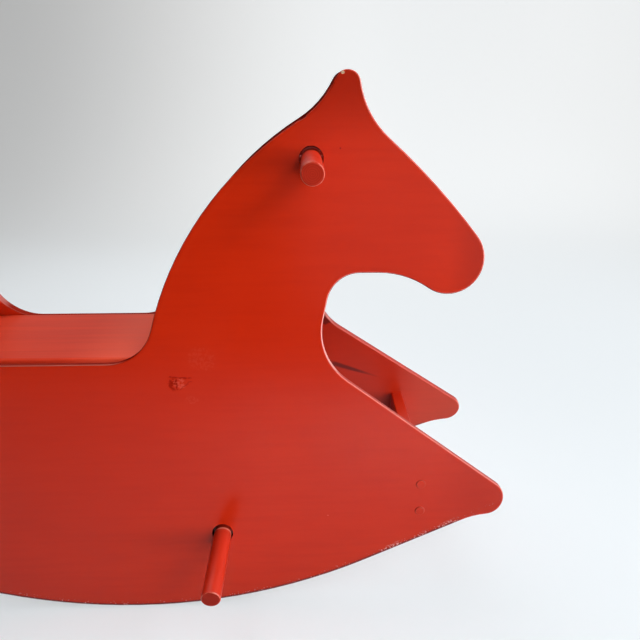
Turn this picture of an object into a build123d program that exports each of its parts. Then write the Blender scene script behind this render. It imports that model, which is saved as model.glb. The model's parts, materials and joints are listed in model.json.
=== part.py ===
from build123d import *
import math
import os

# A child's rocking horse: two flat plywood sides cut to a horse's outline and leaning together like
# an A-frame, with a seat board, two crossbars, a handle dowel and a foot-rest dowel between them.
# Millimetres. X points forward to the nose, Y to the rider's left, Z up. The origin is on the floor,
# midway between the rocker tips.

# Side panels
PANEL_THICKNESS = 9.0
LEAN = 9.24                # degrees that each panel leans in towards the top
PANEL_EDGE_ROUND = 2.0
GAP_AT_SADDLE = 127.3      # between the panels' inner faces, at the saddle's edge

# Panel outline, in the panel's own plane: forward from the middle, and up along the panel
ROCKER_RADIUS = 646.0
ROCKER_LOW_X = 7.5         # where the rocker touches the floor when the horse rests
TIP_X = 409.0
TIP_RADIUS = 21.0
TIP_REACH = 24.8           # how far a tip stands out below the sweep of the rocker
TOE_TILT = 5.2             # degrees that a tip's underside rises outward, where its hollow ends
TOE_HOLLOW_RADIUS = 87.0
EAR_X = 247.8
EAR_UP = 574.9
EAR_RADIUS = 12.8
EAR_FRONT_TILT = 9.2       # degrees that the ear's front edge tips back
EAR_HOLLOW_RADIUS = 84.0
NOSE_AHEAD = 105.2         # of the ear
NOSE_BELOW = 165.9         # the ear
NOSE_RADIUS = 36.0
BROW_RADIUS = 710.0        # the gentle swell from the nose up the forehead
JAW_RISE = 22.6            # from the lowest point of the nose to the straight of the jaw
JAW_HOLLOW_RADIUS = 90.6
THROAT_X = 228.0
THROAT_RADIUS = 34.0
CHEST_SET_BACK = 5.2       # behind the throat
CHEST_DROP = 28.4          # below the throat
CHEST_RADIUS = 67.0
MANE_HOLLOW_RADIUS = 95.3
NAPE_BEHIND = 43.5         # the ear: where the back of the neck begins
NAPE_BELOW = 30.5
NECK_RADIUS = 351.0
WITHERS_X = 47.0           # where the back of the neck ends
WITHERS_RISE = 43.5        # above the saddle
SADDLE_UP = 301.0          # straight top edge beside the seat
SADDLE_HOLLOW_RADIUS = 50.0
CROUP_X = -268.0
CROUP_RISE = 90.0          # above the saddle
CROUP_RADIUS = 96.0

# Dowels through both panels
DOWEL_DIAMETER = 20.0
DOWEL_END_ROUND = 1.5
HANDLE_BEHIND = 34.8       # the ear
HANDLE_BELOW = 69.0        # the ear, down the panel's outer face
HANDLE_LENGTH = 268.0
FOOTREST_X = 108.0
FOOTREST_Z = 94.5
FOOTREST_LENGTH = 382.0
HOLE_PLAY = 3.4            # loose holes, drilled square to the leaning panel
HOLE_EDGE_ROUND = 0.4
DOWEL_REST_GAP = 0.3       # the dowel lies this close to the bottom of its hole
RUB_DEPTH = 0.3            # worn off the dowel all round, where it turns in its holes
RUB_OVERRUN = 1.0          # the worn band passes the panel's faces by this much
PIN_DIAMETER = 6.0
PIN_LENGTH = 38.0
PIN_END_ROUND = 1.0
PIN_CLEARANCE = 1.2        # from a turning pin to the panel

# Crossbars between the panels, near the rocker tips
BAR_BEHIND_TIP = 75.0
BAR_ABOVE_TIP = 30.2
BAR_THICKNESS = 15.0
BAR_HEIGHT = 55.0
BAR_EDGE_ROUND = 1.5
BAR_SCREW_DROP = 11.3      # from the bar's top to its upper screw, on the panel's outer face
BAR_SCREW_RISE = 10.7      # from the bar's bottom to its lower screw
BAR_SCREW_LENGTH = 38.0
PLUG_DIAMETER = 10.0
PLUG_DEPTH = 3.0
PLUG_PROUD = 1.0
PLUG_ROUND = 0.8

# Seat board and the cleats that carry it
SEAT_FRONT_X = 45.0
SEAT_BACK_X = -200.0
SEAT_THICKNESS = 18.0
SEAT_PROUD = 4.0           # above the inner corner of the panels' top edge
SEAT_SIDE_GAP = 1.0
SEAT_EDGE_ROUND = 3.0
CLEAT_WIDTH = 20.0
CLEAT_HEIGHT = 22.0
CLEAT_INSET = 12.0         # from each end of the seat
CLEAT_SCREW_INSET = 30.0   # from each end of the cleat
CLEAT_SCREW_BITE = 4.5     # into the panel
SEAT_SCREW_INSET = 60.0
SEAT_SCREW_BITE = 12.0     # into the seat board

# Countersunk wood screws
SCREW_DIAMETER = 4.0
SCREW_HEAD_DIAMETER = 8.0
SCREW_HEAD_HEIGHT = 2.4
SCREW_POINT = 4.0

SIN_LEAN = math.sin(math.radians(LEAN))
COS_LEAN = math.cos(math.radians(LEAN))
TAN_LEAN = SIN_LEAN / COS_LEAN

# The rounded inner edge of the leaning rocker just touches the floor.
PANEL_FOOT_Z = -PANEL_EDGE_ROUND * (COS_LEAN + SIN_LEAN - 1)
PANEL_FOOT_Y = GAP_AT_SADDLE / 2 + SADDLE_UP * SIN_LEAN

# The right panel's plane lies on its inner face: local X forward, Y up the panel, Z outward.
RIGHT_PLANE = Plane(
    origin=(0, -PANEL_FOOT_Y, PANEL_FOOT_Z),
    x_dir=(1, 0, 0),
    z_dir=(0, -COS_LEAN, SIN_LEAN),
)


def inner_half(z):
    """Distance from the middle to a panel's inner face at height z."""
    return PANEL_FOOT_Y - (z - PANEL_FOOT_Z) * TAN_LEAN


def up_panel(z, depth):
    """Distance up the panel of a point at height z, at a depth outward from the inner face."""
    return (z - PANEL_FOOT_Z - depth * SIN_LEAN) / COS_LEAN


def height_on_panel(up, depth):
    """Height of a point that is a distance up the panel, at a depth outward from the inner face."""
    return PANEL_FOOT_Z + up * COS_LEAN + depth * SIN_LEAN


def left_copy(shape):
    """The same piece on the other side of the horse."""
    return mirror(shape, about=Plane.XZ)


# Panel outline

SHORTEST_STRAIGHT = 0.01   # rounds closer than this run straight into each other


def swell(at, radius):
    """A round of the outline that bulges outward."""
    return (at[0], at[1], radius)


def hollow(at, radius):
    """A round of the outline that is scooped inward."""
    return (at[0], at[1], -radius)


def round_between(a, b, radius):
    """A round that touches rounds a and b: a swell, or a hollow where the radius is negative."""
    reach_a = abs(a[2] - radius)
    reach_b = abs(b[2] - radius)
    apart = math.hypot(b[0] - a[0], b[1] - a[1])
    along = (apart**2 + reach_a**2 - reach_b**2) / (2 * apart)
    aside = math.copysign(math.sqrt(reach_a**2 - along**2), -radius)
    way = ((b[0] - a[0]) / apart, (b[1] - a[1]) / apart)
    return (a[0] + along * way[0] + aside * way[1], a[1] + along * way[1] - aside * way[0], radius)


def hollow_on_level(a, level, radius, side, above):
    """A hollow that touches round a and a level line, behind (-1) or ahead (1) of a."""
    up = level + radius if above else level - radius
    reach = a[2] + radius
    return hollow((a[0] + side * math.sqrt(reach**2 - (up - a[1]) ** 2), up), radius)


def swell_through(first, second, radius):
    """A round of a given radius through two points, bulging to the right of the way between them."""
    half = math.dist(first, second) / 2
    way = ((second[0] - first[0]) / 2 / half, (second[1] - first[1]) / 2 / half)
    inset = math.sqrt(radius**2 - half**2)
    middle = ((first[0] + second[0]) / 2, (first[1] + second[1]) / 2)
    return swell((middle[0] - inset * way[1], middle[1] + inset * way[0]), radius)


def rocker_tip(x):
    """A rocker tip at a distance forward: it stands out by TIP_REACH from the rocker's sweep."""
    sweep = ROCKER_RADIUS + TIP_REACH - TIP_RADIUS
    return swell((x, ROCKER_RADIUS - math.sqrt(sweep**2 - (x - ROCKER_LOW_X) ** 2)), TIP_RADIUS)


def hollow_beside(a, turn, radius):
    """A hollow that touches round a on one side, so many degrees up from straight ahead."""
    reach = a[2] + radius
    angle = math.radians(turn)
    return hollow((a[0] + reach * math.cos(angle), a[1] + reach * math.sin(angle)), radius)


def straight(a, b):
    """Ends of the straight stretch from round a to round b, with the panel on its left."""
    apart = math.hypot(b[0] - a[0], b[1] - a[1])
    heading = math.atan2(b[1] - a[1], b[0] - a[0])
    heading += math.asin(max(-1.0, min(1.0, (a[2] - b[2]) / apart)))
    out = (math.sin(heading), -math.cos(heading))
    leave, arrive = [(x + r * out[0], y + r * out[1]) for x, y, r in (a, b)]
    if math.dist(leave, arrive) < SHORTEST_STRAIGHT:
        arrive = leave
    return leave, arrive


def arc_on(round_, start, end):
    """The arc of a round from one straight to the next."""
    x, y, r = round_
    first = math.atan2(start[1] - y, start[0] - x)
    sweep = math.atan2(end[1] - y, end[0] - x) - first
    sweep = sweep % math.tau if r > 0 else -(-sweep % math.tau)
    middle = first + sweep / 2
    return ThreePointArc(start, (x + abs(r) * math.cos(middle), y + abs(r) * math.sin(middle)), end)


def panel_face():
    """The horse's outline: arcs on the rounds, with the straights that touch them both."""
    rocker = swell((ROCKER_LOW_X, ROCKER_RADIUS), ROCKER_RADIUS)
    front_tip = rocker_tip(TIP_X)
    rear_tip = rocker_tip(-TIP_X)
    ear = swell((EAR_X, EAR_UP), EAR_RADIUS)
    nose = swell((EAR_X + NOSE_AHEAD, EAR_UP - NOSE_BELOW), NOSE_RADIUS)
    forehead = hollow_beside(ear, EAR_FRONT_TILT, EAR_HOLLOW_RADIUS)
    jaw_up = nose[1] - NOSE_RADIUS + JAW_RISE
    throat = hollow((THROAT_X + THROAT_RADIUS, jaw_up - THROAT_RADIUS), THROAT_RADIUS)
    chest_x = THROAT_X - CHEST_SET_BACK
    chest = hollow((chest_x + CHEST_RADIUS, throat[1] - CHEST_DROP), CHEST_RADIUS)
    nape = (EAR_X - NAPE_BEHIND, EAR_UP - NAPE_BELOW)
    withers = (WITHERS_X, SADDLE_UP + WITHERS_RISE)
    neck = swell_through(nape, withers, NECK_RADIUS)
    croup = swell((CROUP_X, SADDLE_UP + CROUP_RISE - CROUP_RADIUS), CROUP_RADIUS)
    rounds = [
        rocker,
        hollow_beside(front_tip, TOE_TILT - 90, TOE_HOLLOW_RADIUS),
        front_tip,
        chest,
        throat,
        hollow_on_level(nose, jaw_up, JAW_HOLLOW_RADIUS, -1, False),
        nose,
        round_between(nose, forehead, BROW_RADIUS),
        forehead,
        ear,
        round_between(ear, neck, -MANE_HOLLOW_RADIUS),
        neck,
        hollow_on_level(neck, SADDLE_UP, SADDLE_HOLLOW_RADIUS, -1, True),
        hollow_on_level(croup, SADDLE_UP, SADDLE_HOLLOW_RADIUS, 1, True),
        croup,
        rear_tip,
        hollow_beside(rear_tip, -90 - TOE_TILT, TOE_HOLLOW_RADIUS),
    ]
    straights = [straight(a, b) for a, b in zip(rounds, rounds[1:] + rounds[:1])]
    edges = []
    for i, round_ in enumerate(rounds):
        arrive = straights[i - 1][1]
        leave, onward = straights[i]
        edges.append(arc_on(round_, arrive, leave))
        if leave != onward:
            edges.append(Line(leave, onward))
    return make_face(edges)


HOLE_DIAMETER = DOWEL_DIAMETER + HOLE_PLAY
RUBBED_DIAMETER = DOWEL_DIAMETER - 2 * RUB_DEPTH
HANDLE_X = EAR_X - HANDLE_BEHIND
HANDLE_Z = height_on_panel(EAR_UP - HANDLE_BELOW, PANEL_THICKNESS)


def dowel_hole(x, z):
    """Centre of a dowel's hole in the panel, so high that the dowel lies near the hole's bottom."""
    middle = PANEL_THICKNESS / 2
    rise = HOLE_DIAMETER / 2 - RUBBED_DIAMETER / 2 / COS_LEAN - middle * TAN_LEAN - DOWEL_REST_GAP
    return (x, up_panel(z, middle) + rise)


def plain_panel():
    """The right panel before its screw holes, in its own plane."""
    panel = extrude(panel_face(), amount=PANEL_THICKNESS)
    outline = panel.faces().filter_by(Axis.Z).edges()
    panel = fillet(outline, PANEL_EDGE_ROUND)
    for at in (dowel_hole(HANDLE_X, HANDLE_Z), dowel_hole(FOOTREST_X, FOOTREST_Z)):
        panel -= Pos(*at, PANEL_THICKNESS / 2) * Cylinder(HOLE_DIAMETER / 2, 2 * PANEL_THICKNESS)
    mouths = panel.edges().filter_by(GeomType.CIRCLE).filter_by(
        lambda edge: math.isclose(edge.radius, HOLE_DIAMETER / 2)
    )
    return fillet(mouths, HOLE_EDGE_ROUND)


# Fasteners


def without(piece, *groups):
    """A piece with the holes that its fasteners fill."""
    for group in groups:
        for fastener in group:
            piece -= fastener
    return piece


def wood_screw(length):
    """A countersunk screw with the top of its head at the origin, pointing down."""
    head = SCREW_HEAD_DIAMETER / 2
    shank = SCREW_DIAMETER / 2
    profile = Polyline(
        (0, 0),
        (head, 0),
        (shank, -SCREW_HEAD_HEIGHT),
        (shank, SCREW_POINT - length),
        (0, -length),
        close=True,
    )
    return revolve(Plane.XZ * make_face(profile), Axis.Z)


def wood_plug():
    """A plug that covers a sunk screw head, with its seat at the origin."""
    height = PLUG_DEPTH + PLUG_PROUD
    plug = Pos(0, 0, height / 2) * Cylinder(PLUG_DIAMETER / 2, height)
    return fillet(plug.edges().group_by(Axis.Z)[-1], PLUG_ROUND)


def bar_place(end):
    """How far forward a crossbar stands and the height of its top, at the front (1) or rear (-1)."""
    tip = rocker_tip(end * TIP_X)
    return end * (TIP_X - BAR_BEHIND_TIP), height_on_panel(tip[1], PANEL_THICKNESS) + BAR_ABOVE_TIP


def bar_screw_places(end):
    """Screw places for a crossbar on the right panel: one above the other, under their plugs."""
    x, top_z = bar_place(end)
    upper = up_panel(top_z, PANEL_THICKNESS) - BAR_SCREW_DROP
    lower = up_panel(top_z - BAR_HEIGHT, PANEL_THICKNESS) + BAR_SCREW_RISE
    seat = PANEL_THICKNESS - PLUG_DEPTH
    return [RIGHT_PLANE * Pos(x, up, seat) for up in (upper, lower)]


def bar_screws(end):
    return [place * wood_screw(BAR_SCREW_LENGTH) for place in bar_screw_places(end)]


def bar_plugs(end):
    return [place * wood_plug() for place in bar_screw_places(end)]


# Crossbars, seat and cleats


def between_panels(low_z, high_z, gap, start_x, end_x):
    """A board across the horse whose sides follow the leaning panels."""
    low = inner_half(low_z) - gap / COS_LEAN
    high = inner_half(high_z) - gap / COS_LEAN
    section = Polyline((-low, low_z), (low, low_z), (high, high_z), (-high, high_z), close=True)
    return extrude(Plane.YZ.offset(start_x) * make_face(section), amount=end_x - start_x)


def crossbar(end):
    x, top_z = bar_place(end)
    start = x - BAR_THICKNESS / 2
    bar = between_panels(top_z - BAR_HEIGHT, top_z, 0, start, start + BAR_THICKNESS)
    return fillet(bar.edges().filter_by(Axis.Y), BAR_EDGE_ROUND)


SADDLE_EDGE_Z = height_on_panel(SADDLE_UP, 0)
SEAT_TOP_Z = SADDLE_EDGE_Z + SEAT_PROUD
SEAT_BOTTOM_Z = SEAT_TOP_Z - SEAT_THICKNESS
CLEAT_BOTTOM_Z = SEAT_BOTTOM_Z - CLEAT_HEIGHT
CLEAT_FRONT_X = SEAT_FRONT_X - CLEAT_INSET
CLEAT_BACK_X = SEAT_BACK_X + CLEAT_INSET


def seat_board():
    board = between_panels(SEAT_BOTTOM_Z, SEAT_TOP_Z, SEAT_SIDE_GAP, SEAT_BACK_X, SEAT_FRONT_X)
    return fillet(board.faces().sort_by(Axis.Z)[-1].edges(), SEAT_EDGE_ROUND)


def right_cleat():
    """The batten under the seat's right edge: its outer side lies on the leaning panel."""
    top = -inner_half(SEAT_BOTTOM_Z)
    bottom = -inner_half(CLEAT_BOTTOM_Z)
    inside = top + CLEAT_WIDTH
    section = Polyline(
        (top, SEAT_BOTTOM_Z),
        (bottom, CLEAT_BOTTOM_Z),
        (inside, CLEAT_BOTTOM_Z),
        (inside, SEAT_BOTTOM_Z),
        close=True,
    )
    batten = Plane.YZ.offset(CLEAT_BACK_X) * make_face(section)
    return extrude(batten, amount=CLEAT_FRONT_X - CLEAT_BACK_X)


def right_cleat_screws():
    """Screws from the cleat's inner side, straight across into the right panel."""
    y = -inner_half(SEAT_BOTTOM_Z) + CLEAT_WIDTH
    z = (SEAT_BOTTOM_Z + CLEAT_BOTTOM_Z) / 2
    length = y + inner_half(z) + CLEAT_SCREW_BITE
    across = Rot(-90, 0, 0)
    ends = (CLEAT_BACK_X + CLEAT_SCREW_INSET, CLEAT_FRONT_X - CLEAT_SCREW_INSET)
    return [Pos(x, y, z) * across * wood_screw(length) for x in ends]


def right_seat_screws():
    """Screws from under the cleat, up into the seat board."""
    y = -inner_half(SEAT_BOTTOM_Z) + CLEAT_WIDTH / 2
    length = CLEAT_HEIGHT + SEAT_SCREW_BITE
    upward = Rot(180, 0, 0)
    ends = (CLEAT_BACK_X + SEAT_SCREW_INSET, CLEAT_FRONT_X - SEAT_SCREW_INSET)
    return [Pos(x, y, CLEAT_BOTTOM_Z) * upward * wood_screw(length) for x in ends]


# Dowels with their retaining pins


def retaining_pins(x, z):
    """Pins through a dowel, just inside each panel, which keep it from sliding out."""
    y = inner_half(z + PIN_LENGTH / 2) - PIN_DIAMETER / 2 - PIN_CLEARANCE
    pin = Cylinder(PIN_DIAMETER / 2, PIN_LENGTH)
    pin = fillet(pin.edges(), PIN_END_ROUND)
    return [Pos(x, side * y, z) * Rot(0, 90, 0) * pin for side in (-1, 1)]


def rubbed_band(z):
    """Start and end, from the middle outward, of the band that wears in a panel's hole."""
    start = inner_half(z + DOWEL_DIAMETER / 2) - RUB_OVERRUN
    end = inner_half(z - DOWEL_DIAMETER / 2) + PANEL_THICKNESS / COS_LEAN + RUB_OVERRUN
    return start, end


def dowel(x, z, length):
    """A round bar with eased ends, rubbed thinner where it turns in the panels."""
    rod = Cylinder(DOWEL_DIAMETER / 2, length)
    rod = fillet(rod.edges(), DOWEL_END_ROUND)
    start, end = rubbed_band(z)
    worn = Cylinder(DOWEL_DIAMETER, end - start) - Cylinder(RUBBED_DIAMETER / 2, end - start)
    for side in (-1, 1):
        rod -= Pos(0, 0, side * (start + end) / 2) * worn
    rod = Pos(x, 0, z) * Rot(90, 0, 0) * rod
    return without(rod, retaining_pins(x, z))


def both_sides(right):
    """Right-hand fasteners and their left-hand twins."""
    return right + [left_copy(piece) for piece in right]


def build():
    """Every node's name and shape."""
    front_screws = bar_screws(1)
    rear_screws = bar_screws(-1)
    right_plugs = bar_plugs(1) + bar_plugs(-1)
    cleat_screws = right_cleat_screws()
    seat_screws = right_seat_screws()
    panel = RIGHT_PLANE * plain_panel()
    panel = without(panel, front_screws, rear_screws, right_plugs, cleat_screws)
    cleat = without(right_cleat(), cleat_screws, seat_screws)
    return {
        "right_side_panel": panel,
        "left_side_panel": left_copy(panel),
        "seat_board": without(seat_board(), both_sides(seat_screws)),
        "right_seat_cleat": cleat,
        "left_seat_cleat": left_copy(cleat),
        "front_crossbar": without(crossbar(1), both_sides(front_screws)),
        "rear_crossbar": without(crossbar(-1), both_sides(rear_screws)),
        "handle_dowel": dowel(HANDLE_X, HANDLE_Z, HANDLE_LENGTH),
        "handle_pins": Compound(children=retaining_pins(HANDLE_X, HANDLE_Z)),
        "footrest_dowel": dowel(FOOTREST_X, FOOTREST_Z, FOOTREST_LENGTH),
        "footrest_pins": Compound(children=retaining_pins(FOOTREST_X, FOOTREST_Z)),
        "front_crossbar_screws": Compound(children=both_sides(front_screws)),
        "rear_crossbar_screws": Compound(children=both_sides(rear_screws)),
        "right_screw_plugs": Compound(children=right_plugs),
        "left_screw_plugs": Compound(children=[left_copy(plug) for plug in right_plugs]),
        "right_cleat_screws": Compound(children=cleat_screws),
        "left_cleat_screws": Compound(children=[left_copy(screw) for screw in cleat_screws]),
        "right_seat_screws": Compound(children=seat_screws),
        "left_seat_screws": Compound(children=[left_copy(screw) for screw in seat_screws]),
    }


os.makedirs("parts", exist_ok=True)
for node, shape in build().items():
    export_step(shape, f"parts/{node}.step")
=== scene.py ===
import functools
import json
import math

import bmesh
import bpy
from mathutils import Matrix, Vector


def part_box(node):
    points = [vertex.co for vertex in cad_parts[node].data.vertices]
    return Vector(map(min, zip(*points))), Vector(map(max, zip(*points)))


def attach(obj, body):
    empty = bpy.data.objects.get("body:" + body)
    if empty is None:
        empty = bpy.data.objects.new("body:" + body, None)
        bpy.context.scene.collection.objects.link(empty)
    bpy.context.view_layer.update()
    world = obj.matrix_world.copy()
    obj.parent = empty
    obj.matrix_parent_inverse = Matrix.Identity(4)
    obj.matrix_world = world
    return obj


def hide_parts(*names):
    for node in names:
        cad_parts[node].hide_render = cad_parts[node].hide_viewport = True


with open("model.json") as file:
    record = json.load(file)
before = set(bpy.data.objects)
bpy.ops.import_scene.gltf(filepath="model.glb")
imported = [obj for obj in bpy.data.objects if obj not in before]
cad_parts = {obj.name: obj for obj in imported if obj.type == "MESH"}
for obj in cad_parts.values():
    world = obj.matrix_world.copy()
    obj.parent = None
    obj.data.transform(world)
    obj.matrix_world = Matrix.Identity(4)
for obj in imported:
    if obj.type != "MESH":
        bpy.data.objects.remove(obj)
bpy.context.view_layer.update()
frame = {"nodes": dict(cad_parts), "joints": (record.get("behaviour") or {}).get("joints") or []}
NODES = frame["nodes"]
JOINTS = {joint["name"]: joint for joint in frame["joints"]}

# Sizes are in metres, in the frame's own axes: X to the nose, Y to the rider's left, Z up
MM = 0.001
FORWARD = (1, 0, 0)
LEFT = (0, 1, 0)
RIGHT = (0, -1, 0)
UP = (0, 0, 1)

# Red paint, what shows where it is worn, and the colours of painted shade and painted light, in linear
# light
RED = (0.50, 0.0184, 0.0026)
DEEP_RED = (0.45, 0.0155, 0.0022)
WARM_RED = (0.54, 0.0215, 0.0030)
BRIGHT_RED = (0.60, 0.0235, 0.0036)
EDGE_RED = (0.36, 0.0120, 0.0030)
RUBBED_AND_LIT_RED = (0.62, 0.1300, 0.0800)
PAINTED_SHADE_RED = (0.37, 0.0136, 0.0019)
SHADOW_RED = (0.22, 0.0070, 0.0040)
LIP_RED = (0.72, 0.1900, 0.1300)
SEAT_RED = (0.57, 0.0350, 0.0120)
SEAT_WARM_RED = (0.64, 0.0490, 0.0200)
SEAT_LIT_RED = (0.88, 0.1050, 0.0500)
SAWN_DARK_RED = (0.36, 0.0160, 0.0050)
SAWN_PALE_RED = (0.42, 0.0210, 0.0080)
RUBBED_AND_HIGHLIT_EDGE = (0.70, 0.2700, 0.2200)
HIGHLIGHT_EDGE = (0.80, 0.4200, 0.3800)
SCUFF_DARK_AND_SHADOW = (0.22, 0.0050, 0.0015)
SCUFF_PALE_AND_HIGHLIGHT = (0.62, 0.0700, 0.0400)
DEEP_SHADE = (0.11, 0.0035, 0.0025)
HOLE_SHADE = (0.03, 0.0015, 0.0010)
GRIME_AND_SHADE = (0.09, 0.0060, 0.0050)
CHIP = (0.78, 0.4000, 0.3600)
BARE_WOOD = (0.66, 0.4300, 0.2700)
STEEL_DARK = (0.50, 0.5000, 0.4800)
STEEL_PALE = (0.66, 0.6500, 0.6200)

# Noise scales: the higher, the finer
CLOUDS = 5.0
PANEL_SHEEN = 9.0
PLAIN_SHEEN = 12.0
DOWEL_SHEEN = 30.0
SCRATCHED_PATCHES = 14.0
CHIP_CLUSTERS = 45.0
BAND_PATCHES = 160.0
RING_WAVER = 180.0
RIM_PATCHES = 220.0
STROKE_WAVER = 260.0
SPOT_WAVER = 300.0
PAPER_TOOTH = 300.0
TORN_PAINT = 330.0
ORANGE_PEEL = 700.0

# Noise scales along each axis, for streaks along a board or a dowel, and for flakes of paint
ALONG_X = (14.0, 160.0, 160.0)
ALONG_Y = (160.0, 14.0, 160.0)
DOWEL_GRAIN = (220.0, 14.0, 220.0)
SEAT_STREAKS = (5.0, 130.0, 40.0)
SEAT_SCRATCHES = (7.0, 1300.0, 40.0)
STEEL_STREAKS = (400.0, 4000.0, 400.0)
FLAKES = (420.0, 420.0, 650.0)

# Relief of the paint, the wood and the steel
GRAIN_RELIEF = 0.02 * MM
PEEL_RELIEF = 0.03 * MM
PLY_RELIEF = 0.06 * MM
DENT_RELIEF = 0.15 * MM
SAWN_RELIEF = 0.04 * MM
SEAT_RELIEF = 0.015 * MM
SCRATCH_RELIEF = 0.02 * MM
STEEL_RELIEF = 0.02 * MM
PAPER_RELIEF = 0.01 * MM


# Node trees

class Tree:
    """Short calls that build one material's nodes."""

    def __init__(self, name):
        self.material = bpy.data.materials.new(name)
        self.material.use_nodes = True
        self.nodes = self.material.node_tree.nodes
        self.links = self.material.node_tree.links
        self.shader = self.nodes["Principled BSDF"]
        coordinates = self.nodes.new("ShaderNodeTexCoord")
        self.place = coordinates.outputs["Object"]
        self.normal = coordinates.outputs["Normal"]
        parts = self.nodes.new("ShaderNodeSeparateXYZ")
        self.links.new(self.place, parts.inputs[0])
        self.x, self.y, self.z = parts.outputs

    def feed(self, socket, value):
        """Set a socket to a constant, or link it."""
        if isinstance(value, bpy.types.NodeSocket):
            self.links.new(value, socket)
        elif isinstance(value, tuple) and socket.type == "RGBA":
            socket.default_value = (*value, 1)
        else:
            socket.default_value = value

    def calculate(self, operation, a, b=0.0):
        node = self.nodes.new("ShaderNodeMath")
        node.operation = operation
        self.feed(node.inputs[0], a)
        self.feed(node.inputs[1], b)
        return node.outputs[0]

    def chain(self, operation, values):
        """One operation over several values, from the first to the last."""
        return functools.reduce(lambda a, b: self.calculate(operation, a, b), values)

    def times(self, *values):
        """The product of values: of masks, where all of them hold."""
        return self.chain("MULTIPLY", values)

    def either(self, *values):
        """The largest of values: of masks, where any of them holds."""
        return self.chain("MAXIMUM", values)

    def add(self, *values):
        return self.chain("ADD", values)

    def less(self, a, b):
        return self.calculate("SUBTRACT", a, b)

    def inverse(self, mask):
        return self.less(1.0, mask)

    def size(self, value):
        return self.calculate("ABSOLUTE", value)

    def hypot(self, a, b):
        return self.calculate("SQRT", self.add(self.times(a, a), self.times(b, b)))

    def dot(self, vector, direction):
        node = self.nodes.new("ShaderNodeVectorMath")
        node.operation = "DOT_PRODUCT"
        self.feed(node.inputs[0], vector)
        node.inputs[1].default_value = direction
        return node.outputs["Value"]

    def noise(self, scale, detail=2.0, roughness=0.5, vector=None):
        node = self.nodes.new("ShaderNodeTexNoise")
        self.feed(node.inputs["Vector"], vector or self.place)
        node.inputs["Scale"].default_value = scale
        node.inputs["Detail"].default_value = detail
        node.inputs["Roughness"].default_value = roughness
        return node.outputs["Fac"]

    def streaks(self, scales, detail, roughness=0.5):
        """Noise with a scale of its own along each axis."""
        node = self.nodes.new("ShaderNodeVectorMath")
        node.operation = "MULTIPLY"
        self.feed(node.inputs[0], self.place)
        node.inputs[1].default_value = scales
        return self.noise(1.0, detail, roughness, vector=node.outputs[0])

    def ramp(self, value, start, end, low=0.0, high=1.0):
        """A smooth step from low at start to high at end."""
        node = self.nodes.new("ShaderNodeMapRange")
        node.interpolation_type = "SMOOTHSTEP"
        self.feed(node.inputs["Value"], value)
        node.inputs["From Min"].default_value = start
        node.inputs["From Max"].default_value = end
        node.inputs["To Min"].default_value = low
        node.inputs["To Max"].default_value = high
        return node.outputs[0]

    def blend(self, mask, low, high):
        """A number that is low where a mask is 0 and high where it is 1."""
        return self.ramp(mask, 0.0, 1.0, low, high)

    def drift(self, noise, low=0.0, high=1.0):
        """A number that drifts between low and high with a noise."""
        return self.ramp(noise, 0.3, 0.7, low, high)

    def waves(self, value, pitch):
        """Ripples from 0 to 1 along a value, one to each pitch."""
        return self.ramp(self.calculate("SINE", self.times(value, 2 * math.pi / pitch)), -1.0, 1.0)

    def mix(self, amount, a, b):
        """Colour a where amount is 0, b where it is 1."""
        node = self.nodes.new("ShaderNodeMix")
        node.data_type = "RGBA"
        self.feed(node.inputs[0], amount)
        self.feed(node.inputs[6], a)
        self.feed(node.inputs[7], b)
        return node.outputs[2]

    def tint(self, colour, other, mask, strength=1.0):
        """A colour that turns to another one under a mask, as far as the strength says."""
        return self.mix(self.times(mask, strength), colour, other)

    def bump(self, height, distance, normal=None):
        node = self.nodes.new("ShaderNodeBump")
        node.inputs["Strength"].default_value = 1.0
        node.inputs["Distance"].default_value = distance
        self.feed(node.inputs["Height"], height)
        if normal is not None:
            self.feed(node.inputs["Normal"], normal)
        return node.outputs[0]

    def finish(self, colour, roughness, normal, specular=0.25):
        self.feed(self.shader.inputs["Base Color"], colour)
        self.feed(self.shader.inputs["Roughness"], roughness)
        self.feed(self.shader.inputs["Normal"], normal)
        self.feed(self.shader.inputs["Specular IOR Level"], specular)
        return self.material


def brushed_red(tree, grain):
    """Red paint with soft clouds, and streaks along the grain where the board shows through."""
    clouds = tree.ramp(tree.noise(CLOUDS, detail=3.0), 0.35, 0.7)
    colour = tree.mix(clouds, RED, WARM_RED)
    streaks = tree.ramp(tree.streaks(grain, detail=4.0), 0.35, 0.75)
    return tree.tint(colour, DEEP_RED, streaks, strength=0.35)


def paint_skin(tree, grain, normal=None):
    """The paint's own relief, over any that is there: orange peel on raised grain."""
    normal = tree.bump(tree.streaks(grain, detail=3.0), GRAIN_RELIEF, normal)
    return tree.bump(tree.noise(ORANGE_PEEL, detail=1.0), PEEL_RELIEF, normal)


# Side panels: where a point lies on a panel, and which way it faces

# The rocker's sweep: a circle that runs straight on beyond its two ends
ROCKER_RADIUS = 646 * MM
ROCKER_LOW_X = 7.5 * MM
ROCKER_FRONT_TURN = math.radians(24.33)
ROCKER_REAR_TURN = math.radians(-26.59)

# The cosine of the turn away from a panel's face, where each zone starts and where it is full
FACE_TURN = (0.90, 0.98)
RIM_TURN = (0.985, 0.85)
ARRIS_TURN = (0.93, 0.68)
SHADED_EDGE_TURN = (0.80, 0.50)
EDGE_TURN = (0.50, 0.20)

# How far the edge faces up or ahead, where its wear, painted shade or painted highlight starts and where
# it is full
FACES_DOWN = (0.0, -0.35)
FACES_BACK = (-0.15, -0.45)
FACES_UP_OR_AHEAD = (0.45, 0.90)
FACES_AHEAD_OR_DOWN = (0.10, 0.35)

# The saddle, along x and up the panel
SADDLE_MIDDLE = -68 * MM
SADDLE_HALF = 100 * MM
SADDLE_FADE = 10 * MM
SADDLE_UP = (250 * MM, 260 * MM)

# A face counts as one of a panel's outer faces when its normal points this far sideways
OUTWARD = 0.9

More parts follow.
